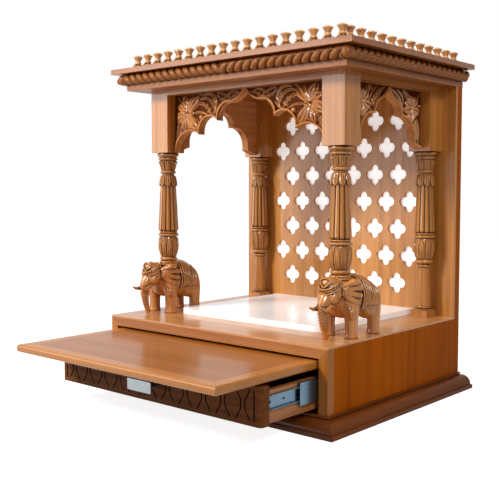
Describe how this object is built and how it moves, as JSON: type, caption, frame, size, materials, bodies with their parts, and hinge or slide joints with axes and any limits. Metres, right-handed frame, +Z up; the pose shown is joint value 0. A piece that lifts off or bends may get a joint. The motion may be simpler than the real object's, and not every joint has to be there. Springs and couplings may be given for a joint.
{
  "type": "pooja mandir",
  "caption": "Wooden household shrine: drawer cabinet with a pull-out tray, turned pillars on elephants, cusped arches, pierced back and roped cornice.",
  "frame": {"origin": "on the floor under the middle of the cabinet box, on the plinth's flat underside", "axes": "+Z up, +Y to the back, +X to the right of someone facing the shrine's front, which is -Y"},
  "size_m": [0.682, 0.772, 0.747],
  "materials": {
    "teak": "varnished, semi-gloss",
    "teak_veneer": "varnished veneer, vertical grain",
    "jali_veneer": "varnished veneer",
    "turned_teak": "turned and carved, varnished",
    "carved_teak": "hand carved, varnished",
    "cornice_teak": "carved, varnished",
    "dark_teak": "dark varnished",
    "tray_teak": "polished, glossy",
    "platform_teak": "polished, glossy",
    "drawer_wood": "satin",
    "white_slab": "polished white slab",
    "white_acrylic": "white sheet, satin",
    "slide_steel": "zinc plated",
    "pull_steel": "satin"
  },
  "bodies": {
    "cabinet": {"plinth_front": "dark_teak", "plinth_left": "dark_teak", "plinth_right": "dark_teak", "plinth_back": "drawer_wood", "cabinet_floor": "drawer_wood", "side_panel_left": "teak_veneer", "side_panel_right": "teak_veneer", "front_stile_left": "teak", "front_stile_right": "teak", "front_top_rail": "teak", "platform_top": "platform_teak", "tray_runner_left": "drawer_wood", "tray_runner_right": "drawer_wood", "back_board": "teak_veneer", "jali_panel": "jali_veneer", "pillar_front_left": "turned_teak", "pillar_front_right": "turned_teak", "pillar_back_left": "turned_teak", "pillar_back_right": "turned_teak", "elephant_left": "carved_teak", "elephant_right": "carved_teak", "arch_front": "carved_teak", "arch_left": "carved_teak", "arch_right": "carved_teak", "top_rail_front": "teak", "top_rail_left": "teak", "top_rail_right": "teak", "cornice_board": "teak", "cornice_core": "teak", "rope_front": "cornice_teak", "rope_left": "cornice_teak", "rope_right": "cornice_teak", "roof_board": "teak", "finials_front": "cornice_teak", "finials_left": "cornice_teak", "finials_right": "cornice_teak", "marble_slab": "white_slab", "white_sheet": "white_acrylic", "slide_outer": "slide_steel"},
    "tray": {"tray_board": "tray_teak"},
    "drawer": {"drawer_front": "dark_teak", "drawer_side_left": "drawer_wood", "drawer_side_right": "drawer_wood", "drawer_bottom": "drawer_wood", "drawer_back": "drawer_wood", "drawer_pull": "pull_steel", "slide_inner": "slide_steel"},
    "slide_middle": {"slide_middle": "slide_steel"}
  },
  "joints": [
    {"name": "tray_slide", "type": "slide", "parent": "cabinet", "child": "tray", "axis": [0, -1, 0], "range_m": [-0.268, 0.03]},
    {"name": "drawer_slide", "type": "slide", "parent": "cabinet", "child": "drawer", "axis": [0, -1, 0], "range_m": [-0.156, 0.144]},
    {"name": "slide_extend", "type": "slide", "parent": "cabinet", "child": "slide_middle", "axis": [0, -1, 0], "range_m": [-0.078, 0.072]}
  ],
  "couplings": [
    {"joint": "slide_extend", "follows": "drawer_slide", "ratio": 0.5}
  ]
}
